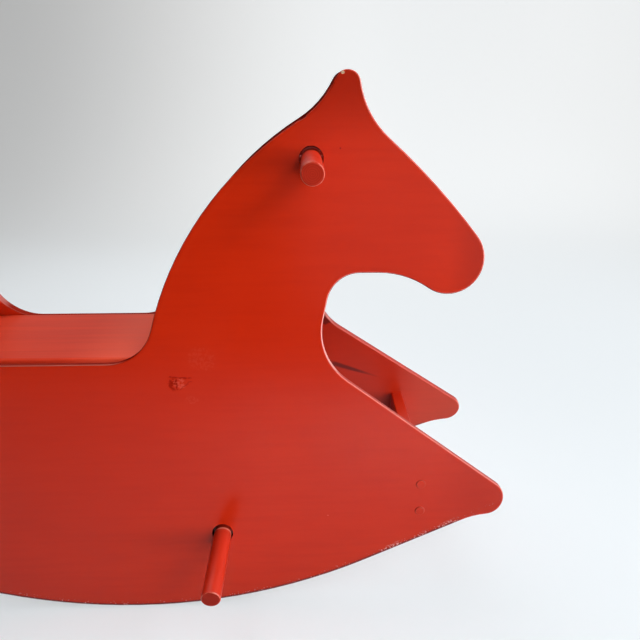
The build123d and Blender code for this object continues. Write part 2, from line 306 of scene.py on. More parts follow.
# The rim of a mark, in shares of its half width, and the share of a stroke's length where its tail starts
SPOT_RIM = (1.1, 0.7)
STROKE_RIM = (1.0, 0.3)
STROKE_TAIL = 0.85


class Panel:
    """How a side panel lies: its outward normal, its upward way, and where both are counted from."""

    def __init__(self, node, side):
        mesh = NODES[node].data
        outward = [face for face in mesh.polygons if face.normal.y * side > OUTWARD]
        largest = max(outward, key=lambda face: face.area)
        self.normal = largest.normal.copy()
        self.out = self.normal.dot(mesh.vertices[largest.vertices[0]].co)
        self.up = Vector((0, -side * self.normal.z, abs(self.normal.y)))
        self.low = min(self.up.dot(vertex.co) for vertex in mesh.vertices)


class PanelTree(Tree):
    """A panel's nodes, with masks for its faces, its rounded rim and the edge between them."""

    def __init__(self, name, panel):
        super().__init__(name)
        self.up = self.less(self.dot(self.place, panel.up), panel.low)
        self.depth = self.less(panel.out, self.dot(self.place, panel.normal))
        self.level = self.dot(self.normal, UP)
        self.ahead = self.dot(self.normal, FORWARD)
        outward = self.dot(self.normal, panel.normal)
        start, full = FACE_TURN
        self.outside = self.ramp(outward, start, full)
        self.inside = self.ramp(outward, -start, -full)
        self.turn = self.size(outward)
        self.rim = self.ramp(self.turn, *RIM_TURN)
        self.edge = self.ramp(self.turn, *EDGE_TURN)

    def saddle(self):
        """1 on the rim along the saddle."""
        off_middle = self.size(self.less(self.x, SADDLE_MIDDLE))
        along = self.ramp(off_middle, SADDLE_HALF + SADDLE_FADE, SADDLE_HALF)
        return self.times(along, self.ramp(self.up, *SADDLE_UP), self.rim)

    def shaded_edges(self, saddle):
        """Painted shade: 1 on the edge where it faces down or back, away from the light, and half as much
        along the saddle.
        """
        away_from_light = self.either(self.ramp(self.level, *FACES_DOWN), self.ramp(self.ahead, *FACES_BACK))
        away_from_light = self.times(away_from_light, self.ramp(self.turn, *SHADED_EDGE_TURN))
        return self.either(away_from_light, self.times(saddle, 0.5))

    def rubbed_and_highlit(self):
        """Wear and painted highlight: 1 on the edge's corners where they face up or ahead, and little
        between the corners.
        """
        arris = self.times(self.ramp(self.turn, *ARRIS_TURN), self.blend(self.edge, 1.0, 0.12))
        return self.times(arris, self.ramp(self.add(self.level, self.ahead), *FACES_UP_OR_AHEAD))

    def front_rim_highlight(self):
        """Painted highlight: 1 on the rim where it faces ahead or down."""
        facing = self.less(self.ahead, self.times(self.level, 0.8))
        return self.times(self.rim, self.ramp(facing, *FACES_AHEAD_OR_DOWN))

    def above_rocker(self):
        """How far inside the rocker's lower edge a point lies."""
        ahead = self.less(self.x, ROCKER_LOW_X)
        below = self.less(ROCKER_RADIUS, self.up)
        turn = self.calculate("ARCTAN2", ahead, below)
        turn = self.calculate("MINIMUM", turn, ROCKER_FRONT_TURN)
        turn = self.calculate("MAXIMUM", turn, ROCKER_REAR_TURN)
        out_x = self.times(ahead, self.calculate("SINE", turn))
        out_z = self.times(below, self.calculate("COSINE", turn))
        return self.less(ROCKER_RADIUS, self.add(out_x, out_z))

    def wobble(self, scale, amount):
        """Noise about 0, as far as the amount to either side."""
        return self.times(self.less(self.noise(scale, detail=2.0), 0.5), 2 * amount)

    def spot(self, x, up, wide, tall, ragged=0.5):
        """1 inside a ragged patch, with its middle and its half width and half height given in mm."""
        across = self.times(self.less(self.x, x * MM), 1 / (wide * MM))
        along = self.times(self.less(self.up, up * MM), 1 / (tall * MM))
        reach = self.add(self.hypot(across, along), self.wobble(SPOT_WAVER, ragged))
        return self.ramp(reach, *SPOT_RIM)

    def stroke(self, start, end, thick, thin, ragged=0.0):
        """1 along a line between two points (x, up), tapering from thick to thin half widths, in mm."""
        run = Vector(end) - Vector(start)
        length = run.length * MM
        way_x, way_up = run.normalized()
        off_x = self.less(self.x, start[0] * MM)
        off_up = self.less(self.up, start[1] * MM)
        along = self.add(self.times(off_x, way_x), self.times(off_up, way_up))
        across = self.less(self.times(off_up, way_x), self.times(off_x, way_up))
        across = self.size(self.add(across, self.wobble(STROKE_WAVER, ragged * MM)))
        half = self.ramp(along, 0.0, length, thick * MM, thin * MM)
        inside = self.ramp(self.calculate("DIVIDE", across, half), *STROKE_RIM)
        head = self.ramp(along, -thick * MM, thick * MM)
        tail = self.ramp(along, length, STROKE_TAIL * length)
        return self.times(inside, head, tail)


# Side panels: wear, marks, painted shade and painted light

# Wear and painted shade along the rocker, by the height above its lower edge or by x: where they start and
# where they are full
DARK_LINE = (3.8 * MM, 2.6 * MM)
DARK_LINE_ENDS = (385 * MM, 375 * MM)
CHIPS_BELOW = (1.5 * MM, 2.5 * MM)
CHIPS_ABOVE = (8.0 * MM, 3.0 * MM)
MORE_CHIPS_REAR = (220 * MM, 320 * MM)
MORE_CHIPS_FRONT = (400 * MM, 370 * MM)
MORE_CHIPS = 0.13
DIRTY_FLAKES = (0.58, 0.62)
CHIPPED_FLAKES = (0.64, 0.685)

# Painted shade and painted light, by x or by the height up the panel: where they start and where they are
# full
EAR_SHADE_UP = (515 * MM, 580 * MM)
FRONT_SHADE_X = (345 * MM, 400 * MM)
NOSE_SHADE_X = (345 * MM, 385 * MM)
NOSE_SHADE_UP = (340 * MM, 370 * MM)
TIP_LIGHT_X = (320 * MM, 380 * MM)
SHADOW_END_X = (315 * MM, 270 * MM)

# Spots on the panels, in mm: x, height up the panel, half width and half height
EAR_CHIP = (243.0, 584.6, 2.2, 1.6)
SCUFF_REAR = (63.5, 278.5, 4.5, 8.0)
SCUFF_MIDDLE = (71.5, 279.5, 7.0, 6.0)
SCUFF_ABOVE = (96.0, 306.0, 16.0, 14.0)
SCUFF_BELOW = (83.0, 260.0, 8.0, 5.0)
FRONT_NICK = (229.0, 117.0, 1.3, 0.8)
LOW_NICK = (96.4, 19.7, 1.6, 0.9)
HANDLE_DOT = (241.0, 517.0, 1.0, 1.0)
THROAT_SHADE = (232.0, 293.0, 9.0, 8.0)

# Strokes on the panels, in mm: both ends (x, height up the panel), and the half width at each
SCUFF_TOP_CUT = ((60.0, 286.6), (86.0, 284.6), 1.4, 1.0)
SCUFF_REAR_CUT = ((67.0, 284.0), (69.0, 271.0), 1.6, 1.0)
SCUFF_FRONT_CUT = ((84.0, 282.0), (70.0, 271.5), 1.2, 1.0)
CHEST_SHADOW = ((240.0, 222.0), (316.0, 193.0), 5.5, 1.6)
CHEST_SHADE = ((234.0, 292.0), (264.0, 271.0), 3.0, 0.8)

# The holes' painted shade, and the arcs of painted highlight and painted shadow beside the plugs
HOLE_REACH = 15 * MM
HOLE_FADE = 1 * MM
PLUG_RADIUS = 5 * MM
ARC_OUTSIDE = 0.5 * MM
ARC_INSIDE = 0.4 * MM
ARC_SHIFT = 0.8 * MM
ARC_LIFT = 0.3 * MM
UPPER_ARC = 0.5
LOWER_ARC = 0.9

PLY_PITCH = 1.5 * MM
WORN_ROUGHNESS = 0.5


def rocker_wear(tree, colour):
    """A dark lower edge on the rocker, grime with painted shade, and chips in clusters just inside it,
    most of them in front.
    """
    height = tree.above_rocker()
    line = tree.times(tree.ramp(height, *DARK_LINE), tree.ramp(tree.size(tree.x), *DARK_LINE_ENDS))
    # The dark lower edge is grime and painted shade on the arris
    colour = tree.tint(colour, GRIME_AND_SHADE, line, strength=0.85)
    front = tree.times(tree.ramp(tree.x, *MORE_CHIPS_REAR), tree.ramp(tree.x, *MORE_CHIPS_FRONT))
    clusters = tree.ramp(tree.noise(CHIP_CLUSTERS, detail=1.0), 0.35, 0.65)
    flakes = tree.streaks(FLAKES, detail=2.0, roughness=0.6)
    flakes = tree.add(flakes, tree.times(front, clusters, MORE_CHIPS))
    strip = tree.times(tree.ramp(height, *CHIPS_BELOW), tree.ramp(height, *CHIPS_ABOVE), tree.outside)
    dirt_and_shade = tree.times(strip, tree.ramp(flakes, *DIRTY_FLAKES))
    chips = tree.times(strip, tree.ramp(flakes, *CHIPPED_FLAKES))
    colour = tree.tint(colour, SCUFF_DARK_AND_SHADOW, dirt_and_shade, strength=0.5)
    return tree.tint(colour, CHIP, chips), chips


# Each mark gives back the colour that it leaves, and where it dents the paint, or None

def ear_shade_and_chip(tree, colour):
    """Painted shade, darker at the ear, along the front and at the nose, where less light falls; and a
    chip to bare wood at the ear's tip.
    """
    ear = tree.ramp(tree.up, *EAR_SHADE_UP)
    front = tree.ramp(tree.x, *FRONT_SHADE_X, high=0.4)
    nose = tree.times(tree.ramp(tree.x, *NOSE_SHADE_X, high=0.8), tree.ramp(tree.up, *NOSE_SHADE_UP))
    # Painted shade at the ear, the front and the nose
    shaded_ends = tree.times(tree.either(ear, front, nose), tree.outside)
    colour = tree.tint(colour, PAINTED_SHADE_RED, shaded_ends)
    return tree.tint(colour, BARE_WOOD, tree.spot(*EAR_CHIP)), None


def scuff(tree, colour):
    """A knock on the shoulder: cuts round it, torn paint at its rear, and a rubbed middle."""
    torn = tree.noise(TORN_PAINT, detail=3.0, roughness=0.6)
    cuts = tree.either(tree.stroke(*SCUFF_TOP_CUT, ragged=2.0), tree.stroke(*SCUFF_REAR_CUT, ragged=2.5))
    cuts = tree.times(cuts, tree.ramp(torn, 0.62, 0.46, 0.3, 1.0))
    front_cut = tree.times(tree.stroke(*SCUFF_FRONT_CUT, ragged=2.5), 0.6)
    rear = tree.times(tree.spot(*SCUFF_REAR), tree.ramp(torn, 0.60, 0.48))
    dark = tree.times(tree.either(cuts, rear, front_cut), tree.outside)
    middle = tree.times(tree.spot(*SCUFF_MIDDLE), tree.ramp(torn, 0.44, 0.58))
    around = tree.either(tree.spot(*SCUFF_ABOVE), tree.spot(*SCUFF_BELOW))
    around = tree.times(around, tree.ramp(torn, 0.42, 0.62), 0.3)
    pale = tree.times(tree.either(middle, around), tree.outside)
    colour = tree.tint(colour, SCUFF_PALE_AND_HIGHLIGHT, pale, strength=0.65)
    return tree.tint(colour, SCUFF_DARK_AND_SHADOW, dark, strength=0.8), dark


def small_nicks(tree, colour):
    """A pale nick in front of the foot rest, one below it, and a dark dot by the handle."""
    nicks = tree.either(tree.spot(*FRONT_NICK), tree.spot(*LOW_NICK))
    colour = tree.tint(colour, SCUFF_PALE_AND_HIGHLIGHT, tree.times(nicks, tree.outside))
    return tree.tint(colour, SCUFF_DARK_AND_SHADOW, tree.times(tree.spot(*HANDLE_DOT), tree.outside)), None


def inner_shadow(tree, colour):
    """Painted shadow: a long dark streak on the inner face of the chest, broad at its rear end."""
    # Painted shadow on the inner face of the chest
    streak_shadow = tree.times(tree.stroke(*CHEST_SHADOW), tree.inside, tree.ramp(tree.x, *SHADOW_END_X))
    return tree.tint(colour, DEEP_SHADE, streak_shadow, strength=0.85), None


def corner_shade(tree, colour):
    """Painted shade on the inner face where the throat meets the chest, running on below the chest's edge.
    """
    # Painted shade in the corner between throat and chest
    dirt_and_shade = tree.either(tree.spot(*THROAT_SHADE), tree.stroke(*CHEST_SHADE, ragged=1.5))
    return tree.tint(colour, DEEP_SHADE, tree.times(dirt_and_shade, tree.inside), strength=0.8), None


def tip_light(tree, colour):
    """Painted light: the inner face paler towards the rocker's tip, where more light falls."""
    # Painted light towards the tip
    lit = tree.times(tree.ramp(tree.x, *TIP_LIGHT_X), tree.inside)
    return tree.tint(colour, RUBBED_AND_LIT_RED, lit, strength=0.25), None


def hole_shade(tree):
    """Painted shade: 1 in the two holes that the dowels turn in."""
    holes = []
    for joint in JOINTS.values():
        axis_x, _, axis_z = joint["pos_m"]
        reach = tree.hypot(tree.less(tree.x, axis_x), tree.less(tree.z, axis_z))
        holes.append(tree.ramp(reach, HOLE_REACH + HOLE_FADE, HOLE_REACH))
    return tree.times(tree.rim, tree.either(*holes))


def plug_places(node, panel):
    """The middles (x, up) of a node's plugs: an upper and a lower one at each end of the horse."""
    points = [vertex.co for vertex in NODES[node].data.vertices]
    places = []
    for end in (-1, 1):
        here = [point for point in points if point.x * end > 0]
        xs = [point.x for point in here]
        ups = [panel.up.dot(point) - panel.low for point in here]
        x = (min(xs) + max(xs)) / 2
        places.append((x, max(ups) - PLUG_RADIUS))
        places.append((x, min(ups) + PLUG_RADIUS))
    return places


def plug_arcs(tree, node, panel, shift):
    """Discs behind the plugs, moved up and along, so that a thin arc shows; fainter at upper plugs. They
    carry a painted highlight in front of each plug and a painted shadow behind it.
    """
    strengths = 2 * (UPPER_ARC, LOWER_ARC)
    arcs = []
    for (x, up), strength in zip(plug_places(node, panel), strengths):
        off_x = tree.less(tree.x, x + shift)
        off_up = tree.less(tree.up, up + ARC_LIFT)
        reach = tree.hypot(off_x, off_up)
        disc = tree.ramp(reach, PLUG_RADIUS + ARC_OUTSIDE, PLUG_RADIUS - ARC_INSIDE)
        arcs.append(tree.times(disc, strength))
    return tree.times(tree.either(*arcs), tree.outside)


def panel_paint(name, panel, plugs, smooth, dull, specular, edge_wear_and_light, marks):
    """Red paint on plywood, worn along its edge and painted there with shade and highlight, with the marks
    of one panel.

    Its roughness drifts from smooth to dull, and one strength says how far its edge is worn and highlit.
    """
    tree = PanelTree(name, panel)
    saddle = tree.saddle()
    shaded_edges = tree.shaded_edges(saddle)
    plies = tree.waves(tree.depth, PLY_PITCH)
    colour = brushed_red(tree, ALONG_X)
    colour = tree.tint(colour, EDGE_RED, tree.times(tree.edge, tree.blend(plies, 0.35, 0.85)))
    # Wear and painted highlight on the corners that face up or ahead
    colour = tree.tint(colour, RUBBED_AND_HIGHLIT_EDGE, tree.rubbed_and_highlit(), strength=edge_wear_and_light)
    # Painted highlight on the rim where it faces ahead or down
    colour = tree.tint(colour, HIGHLIGHT_EDGE, tree.front_rim_highlight(), strength=0.85 * edge_wear_and_light)
    # Painted shade: dark on the edges that face down or back, and along the saddle
    colour = tree.tint(colour, GRIME_AND_SHADE, shaded_edges, strength=0.9)
    # Painted highlight arcs in front of the plugs, painted shadow arcs behind and above them
    colour = tree.tint(colour, SCUFF_PALE_AND_HIGHLIGHT, plug_arcs(tree, plugs, panel, ARC_SHIFT))
    plug_shadow = plug_arcs(tree, plugs, panel, -ARC_SHIFT)
    colour = tree.tint(colour, SCUFF_DARK_AND_SHADOW, plug_shadow, strength=0.8)
    holes = hole_shade(tree)
    # Painted shade inside the holes
    colour = tree.tint(colour, HOLE_SHADE, holes)
    colour, chips = rocker_wear(tree, colour)
    dents = chips
    for mark in marks:
        colour, dent = mark(tree, colour)
        if dent is not None:
            dents = tree.either(dents, dent)
    normal = tree.bump(tree.times(plies, tree.edge), PLY_RELIEF)
    normal = tree.bump(tree.inverse(dents), DENT_RELIEF, normal)
    paint = tree.drift(tree.noise(PANEL_SHEEN, detail=4.0), smooth, dull)
    worn = tree.times(tree.either(tree.rim, chips), WORN_ROUGHNESS)
    roughness = tree.either(paint, worn, shaded_edges)
    matt = tree.either(shaded_edges, saddle, holes, dents, plug_shadow)
    normal = paint_skin(tree, ALONG_X, normal)
    return tree.finish(colour, roughness, normal, tree.blend(matt, specular, 0.0))


# Seat, bars, dowels and fasteners

# A plug's height out of the panel, where its wear and its painted shade start and where they are full
PLUG_CROWN = (0.4 * MM, 0.9 * MM)
PLUG_FOOT = (0.45 * MM, 0.1 * MM)

# Along the seat, where its painted light starts and where it is full
SEAT_LIT_X = (-60 * MM, 15 * MM)

# A dowel, the painted shade on it beside and inside the panel, and the rubbed lip at the panel's outer
# face
DOWEL_RADIUS = 10 * MM
BAND_DEPTH = 0.1 * MM
END_ROUND = 4 * MM
BESIDE_START = 50 * MM
BESIDE_FULL = 30 * MM
BAND_FADE = 1 * MM
LIP_INNER = 3.4 * MM
LIP_OUTER = 2.2 * MM
LIP_FADE = 0.8 * MM

# A dowel's sawn end and its rim, by the cosine of the turn away from the end: start and full
SAWN_TURN = (0.80, 0.97)
END_RIM_TURN = (0.25, 0.60)
RING_PITCH = 1.7 * MM
RING_WOBBLE = 1.5 * MM
SAWN_ROUGHNESS = 0.5


def plain_paint(name, grain, smooth=0.30, dull=0.40):
    """Red paint without marks."""
    tree = Tree(name)
    roughness = tree.drift(tree.noise(PLAIN_SHEEN, detail=4.0), smooth, dull)
    return tree.finish(brushed_red(tree, grain), roughness, paint_skin(tree, grain), specular=0.5)


def plug_paint(name, panel):
    """Paint over a proud plug, rubbed on its crown, with painted shade round its foot."""
    tree = PanelTree(name, panel)
    proud = tree.times(tree.depth, -1.0)
    crown = tree.times(tree.rim, tree.ramp(proud, *PLUG_CROWN))
    foot = tree.ramp(proud, *PLUG_FOOT)
    colour = tree.tint(brushed_red(tree, ALONG_X), RUBBED_AND_LIT_RED, crown, strength=0.5)
    # Painted shade round the plug's foot
    colour = tree.tint(colour, GRIME_AND_SHADE, foot, strength=0.9)
    return tree.finish(colour, tree.blend(foot, 0.25, 0.9), paint_skin(tree, ALONG_X))


def seat_paint():
    """Thin chalky red, streaked along the board, and painted paler at its front as painted light where the
    neck shades it.
    """
    tree = Tree("seat_paint")
    streaks = tree.streaks(SEAT_STREAKS, detail=3.0)
    colour = tree.mix(tree.drift(streaks), SEAT_RED, SEAT_WARM_RED)
    # Painted light towards the seat's front
    colour = tree.tint(colour, SEAT_LIT_RED, tree.ramp(tree.x, *SEAT_LIT_X), strength=0.6)
    scratches = tree.ramp(tree.streaks(SEAT_SCRATCHES, detail=2.0), 0.60, 0.70)
    scratches = tree.times(scratches, tree.ramp(tree.noise(SCRATCHED_PATCHES), 0.4, 0.6))
    colour = tree.tint(colour, RUBBED_AND_LIT_RED, scratches, strength=0.2)
    normal = tree.bump(streaks, SEAT_RELIEF, tree.bump(scratches, -SCRATCH_RELIEF))
    return tree.finish(colour, tree.drift(streaks, 0.42, 0.48), normal, specular=0.12)


def turned_band(node, axis_x, axis_z):
    """How far from a dowel's middle the thinner band that turns in the panel's hole starts and ends."""
    mesh = NODES[node].data
    tip = max(vertex.co.y for vertex in mesh.vertices)
    ways = []
    for vertex in mesh.vertices:
        radius = math.hypot(vertex.co.x - axis_x, vertex.co.z - axis_z)
        along = abs(vertex.co.y)
        if radius < DOWEL_RADIUS - BAND_DEPTH and END_ROUND < along < tip - END_ROUND:
            ways.append(along)
    return min(ways), max(ways)


def turning_wear_and_shade(tree, colour, start, end):
    """Painted shade in and beside the panel, and a pale lip at its outer face; also says where the painted
    shade is.
    """
    along = tree.size(tree.y)
    beside = tree.times(
        tree.ramp(along, start - BESIDE_START, start - BESIDE_FULL),
        tree.ramp(along, start + BAND_FADE, start),
    )
    # Painted shade on the dowel beside the panel's inner face
    colour = tree.tint(colour, DEEP_SHADE, beside, strength=0.9)
    inner = end - LIP_INNER
    outer = end - LIP_OUTER
    band = tree.times(
        tree.ramp(along, start - BAND_FADE, start + BAND_FADE),
        tree.ramp(along, inner, inner - BAND_FADE),
    )
    patches = tree.ramp(tree.noise(BAND_PATCHES, detail=3.0), 0.30, 0.62, 0.5, 0.9)
    colour = tree.tint(colour, SHADOW_RED, tree.times(band, patches))
    lip = tree.times(
        tree.ramp(along, inner - LIP_FADE, inner),
        tree.ramp(along, outer + LIP_FADE, outer),
    )
    return tree.tint(colour, LIP_RED, lip), tree.either(band, beside)


def sawn_ends(tree, colour, radius, soil):
    """Painted end grain with a rim rubbed paler, partly a painted highlight; also says where it is, and
    where its rings stand up.
    """
    endways = tree.size(tree.dot(tree.normal, LEFT))
    sawn = tree.ramp(endways, *SAWN_TURN)
    waver = tree.times(tree.noise(RING_WAVER), RING_WOBBLE)
    rings = tree.waves(tree.add(radius, waver), RING_PITCH)
    end_grain = tree.mix(rings, SAWN_DARK_RED, SAWN_PALE_RED)
    colour = tree.mix(sawn, colour, tree.mix(soil, end_grain, GRIME_AND_SHADE))
    rim = tree.times(tree.ramp(endways, *END_RIM_TURN), tree.inverse(sawn))
    rubbed_and_highlit = tree.times(rim, tree.ramp(tree.noise(RIM_PATCHES), 0.35, 0.6))
    return tree.tint(colour, RUBBED_AND_LIT_RED, rubbed_and_highlit), sawn, tree.times(rings, sawn)


def dowel_paint(name, node, joint, gloss, soil):
    """Satin red, worn where the dowel turns in the panels and painted with shade in and beside them, with
    sawn ends that may be soiled.
    """
    tree = Tree(name)
    axis_x, _, axis_z = JOINTS[joint]["pos_m"]
    radius = tree.hypot(tree.less(tree.x, axis_x), tree.less(tree.z, axis_z))
    colour = tree.mix(0.6, brushed_red(tree, DOWEL_GRAIN), BRIGHT_RED)
    colour, shaded_dowel = turning_wear_and_shade(tree, colour, *turned_band(node, axis_x, axis_z))
    colour, sawn, rings = sawn_ends(tree, colour, radius, soil)
    roughness = tree.drift(tree.noise(DOWEL_SHEEN, detail=3.0), 0.38, 0.46)
    roughness = tree.either(roughness, tree.times(sawn, SAWN_ROUGHNESS))
    specular = tree.blend(tree.either(sawn, shaded_dowel), gloss, 0.08)
    return tree.finish(colour, roughness, tree.bump(rings, SAWN_RELIEF), specular)


def steel(name):
    """Zinc-plated steel with fine streaks."""
    tree = Tree(name)
    streaks = tree.streaks(STEEL_STREAKS, detail=2.0)
    colour = tree.mix(streaks, STEEL_DARK, STEEL_PALE)
    tree.shader.inputs["Metallic"].default_value = 1.0
    return tree.finish(colour, tree.ramp(streaks, 0.2, 0.8, 0.28, 0.45), tree.bump(streaks, STEEL_RELIEF))


def dress(material, *names):
    """Give nodes a material in place of any that they have."""
    for name in names:
        mesh = NODES[name].data
        mesh.materials.clear()
        mesh.materials.append(material)


# Paint on the pieces that keep their CAD shapes

RIGHT_PANEL = Panel("right_side_panel", -1)
LEFT_PANEL = Panel("left_side_panel", 1)
ZINC = steel("zinc_steel")

right_panel_paint = panel_paint(
    "right_panel_paint", RIGHT_PANEL, "right_screw_plugs",
    smooth=0.20, dull=0.26, specular=0.26, edge_wear_and_light=0.7, marks=(ear_shade_and_chip, scuff, small_nicks),
)
left_panel_paint = panel_paint(
    "left_panel_paint", LEFT_PANEL, "left_screw_plugs",
    smooth=0.36, dull=0.44, specular=0.36, edge_wear_and_light=0.3, marks=(inner_shadow, corner_shade, tip_light),
)
handle_paint = dowel_paint("handle_paint", "handle_dowel", "handle_turn", gloss=0.35, soil=0.0)
footrest_paint = dowel_paint("footrest_paint", "footrest_dowel", "footrest_turn", gloss=0.75, soil=0.25)

dress(right_panel_paint, "right_side_panel")
dress(left_panel_paint, "left_side_panel")
dress(seat_paint(), "seat_board")
dress(plain_paint("bar_paint", ALONG_Y), "front_crossbar", "rear_crossbar")
dress(plain_paint("cleat_paint", ALONG_X, smooth=0.40, dull=0.50), "right_seat_cleat", "left_seat_cleat")
dress(plug_paint("right_plug_paint", RIGHT_PANEL), "right_screw_plugs")
dress(plug_paint("left_plug_paint", LEFT_PANEL), "left_screw_plugs")
dress(plain_paint("pin_paint", ALONG_X, smooth=0.45, dull=0.55), "handle_pins", "footrest_pins")
dress(handle_paint, "handle_dowel")
dress(footrest_paint, "footrest_dowel")
dress(ZINC, "front_crossbar_screws", "rear_crossbar_screws")


# Screws with cross recesses, in place of the plain ones whose heads show between the panels and from below

HEAD_RADIUS = 4.0 * MM
HEAD_HEIGHT = 2.4 * MM
HEAD_ROUND = 0.3 * MM
SHANK_RADIUS = 2.0 * MM
POINT_LENGTH = 4.0 * MM
POINT_RADIUS = 0.2 * MM
RECESS_REACH = 2.3 * MM
RECESS_HALF = 0.55 * MM
RECESS_DEPTH = 1.6 * MM
RECESS_TAPER = 0.45
SCREW_STEPS = 32
SHARP = math.radians(35)


def ring(shape, radius, height):
    turns = (2 * math.pi * step / SCREW_STEPS for step in range(SCREW_STEPS))
    return [shape.verts.new((radius * math.cos(t), radius * math.sin(t), height)) for t in turns]


def cross(shape, reach, half, height):
    """The twelve corners of a cross, in order."""
    corners = []
    for quarter in range(4):
        turn = Matrix.Rotation(quarter * math.pi / 2, 3, "Z")
        for x, y in ((reach, -half), (reach, half), (half, half)):
            corners.append(shape.verts.new(turn @ Vector((x, y, height))))
    return corners


def join(shape, upper, lower):
    """Faces between two loops with as many corners each."""
    for i in range(len(upper)):
        shape.faces.new((upper[i - 1], upper[i], lower[i], lower[i - 1]))


def loop_edges(shape, loop):
    return [shape.edges.get((loop[i - 1], loop[i])) for i in range(len(loop))]


def add_screw(shape, length, place):
    """A countersunk screw with the top of its head at the origin, pointing down, moved to its place."""
    first = len(shape.verts)
    outline = [
        ring(shape, HEAD_RADIUS - HEAD_ROUND, 0),
        ring(shape, HEAD_RADIUS, -HEAD_ROUND),
        ring(shape, SHANK_RADIUS, -HEAD_HEIGHT),
        ring(shape, SHANK_RADIUS, POINT_LENGTH - length),
        ring(shape, POINT_RADIUS, -length),
    ]
    for upper, lower in zip(outline, outline[1:]):
        join(shape, upper, lower)
    shape.faces.new(outline[-1])
    mouth = cross(shape, RECESS_REACH, RECESS_HALF, 0)
    bottom = cross(shape, RECESS_REACH * RECESS_TAPER, RECESS_HALF, -RECESS_DEPTH)
    join(shape, mouth, bottom)
    shape.faces.new(bottom)
    head_edges = loop_edges(shape, outline[0]) + loop_edges(shape, mouth)
    bmesh.ops.triangle_fill(shape, use_beauty=True, edges=head_edges)
    shape.verts.ensure_lookup_table()
    bmesh.ops.transform(shape, matrix=place, verts=shape.verts[first:])


def screw_pair(node, drive):
    """Two screws in the place of a node's two, driven along a direction."""
    low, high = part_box(node)
    way = Vector(drive)
    depth = abs((high - low).dot(way))
    middle = (low + high) / 2
    turn = way.to_track_quat("-Z", "X").to_matrix().to_4x4()
    shape = bmesh.new()
    for x in (low.x + HEAD_RADIUS, high.x - HEAD_RADIUS):
        head = Vector((x, middle.y, middle.z)) - way * depth / 2
        add_screw(shape, depth, Matrix.Translation(head) @ turn)
    bmesh.ops.recalc_face_normals(shape, faces=shape.faces)
    mesh = bpy.data.meshes.new(node + "_detailed")
    shape.to_mesh(mesh)
    shape.free()
    mesh.shade_smooth()
    mesh.set_sharp_from_angle(angle=SHARP)
    mesh.materials.append(ZINC)
    piece = bpy.data.objects.new(node + "_detailed", mesh)
    bpy.context.scene.collection.objects.link(piece)
    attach(piece, "frame")
    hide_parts(node)


screw_pair("right_cleat_screws", RIGHT)
screw_pair("left_cleat_screws", LEFT)
screw_pair("right_seat_screws", UP)
screw_pair("left_seat_screws", UP)


# Floor and backdrop: one sheet of pale paper that curves up behind the horse

PAPER_LEFT = -9.0
PAPER_RIGHT = 9.0
PAPER_FRONT = -1.6
PAPER_BACK = 1.6
CURVE_RADIUS = 1.2
CURVE_STEPS = 24
WALL_TOP = 8.0
PAPER = (0.48, 0.52, 0.55)
SHADED_PAPER = (0.12, 0.10, 0.10)
PAPER_ROUGHNESS = 0.8

# The paper's glow, and along y or x where it changes
FLOOR_GLOW_FRONT = 0.47
FLOOR_GLOW_BACK = 0.49
FLOOR_GLOW_LEFT = 0.88
WALL_GLOW_LEFT = 0.365
WALL_GLOW_RIGHT = 0.765
WALL_GLOW_MORE = 0.05
WALL_GLOW_END = 0.15
WARM_GLOW = (1.0, 0.985, 0.96)
WALL_GLOW = (0.97, 0.985, 0.985)
COOL_GLOW = (0.95, 0.985, 1.0)
FLOOR_TO_WALL_Y = (0.2, 2.4)
FLOOR_BACK_Y = (0.0, 0.8)
FLOOR_LEFT_X = (-0.6, 0.3)
WALL_RIGHT_X = (-1.5, 0.6)
WALL_MORE_X = (0.7, 1.8)
WALL_END_X = (-2.2, -4.5)
WALL_COLOUR_X = (-1.2, 1.0)

# Painted shadow: a soft dark spot on the paper under the horse
SHADE_X = 0.085
SHADE_CORE = 0.03
SHADE_REACH = 0.10


def backdrop_mesh():
    profile = [(PAPER_FRONT, 0.0), (PAPER_BACK, 0.0)]
    for step in range(1, CURVE_STEPS + 1):
        turn = math.pi / 2 * step / CURVE_STEPS
        profile.append((PAPER_BACK + CURVE_RADIUS * math.sin(turn), CURVE_RADIUS * (1 - math.cos(turn))))
    profile.append((PAPER_BACK + CURVE_RADIUS, WALL_TOP))
    points = [(x, y, z) for y, z in profile for x in (PAPER_LEFT, PAPER_RIGHT)]
    faces = [(i, i + 1, i + 3, i + 2) for i in range(0, len(points) - 2, 2)]
    mesh = bpy.data.meshes.new("backdrop")
    mesh.from_pydata(points, [], faces)
    mesh.shade_smooth()
    return mesh


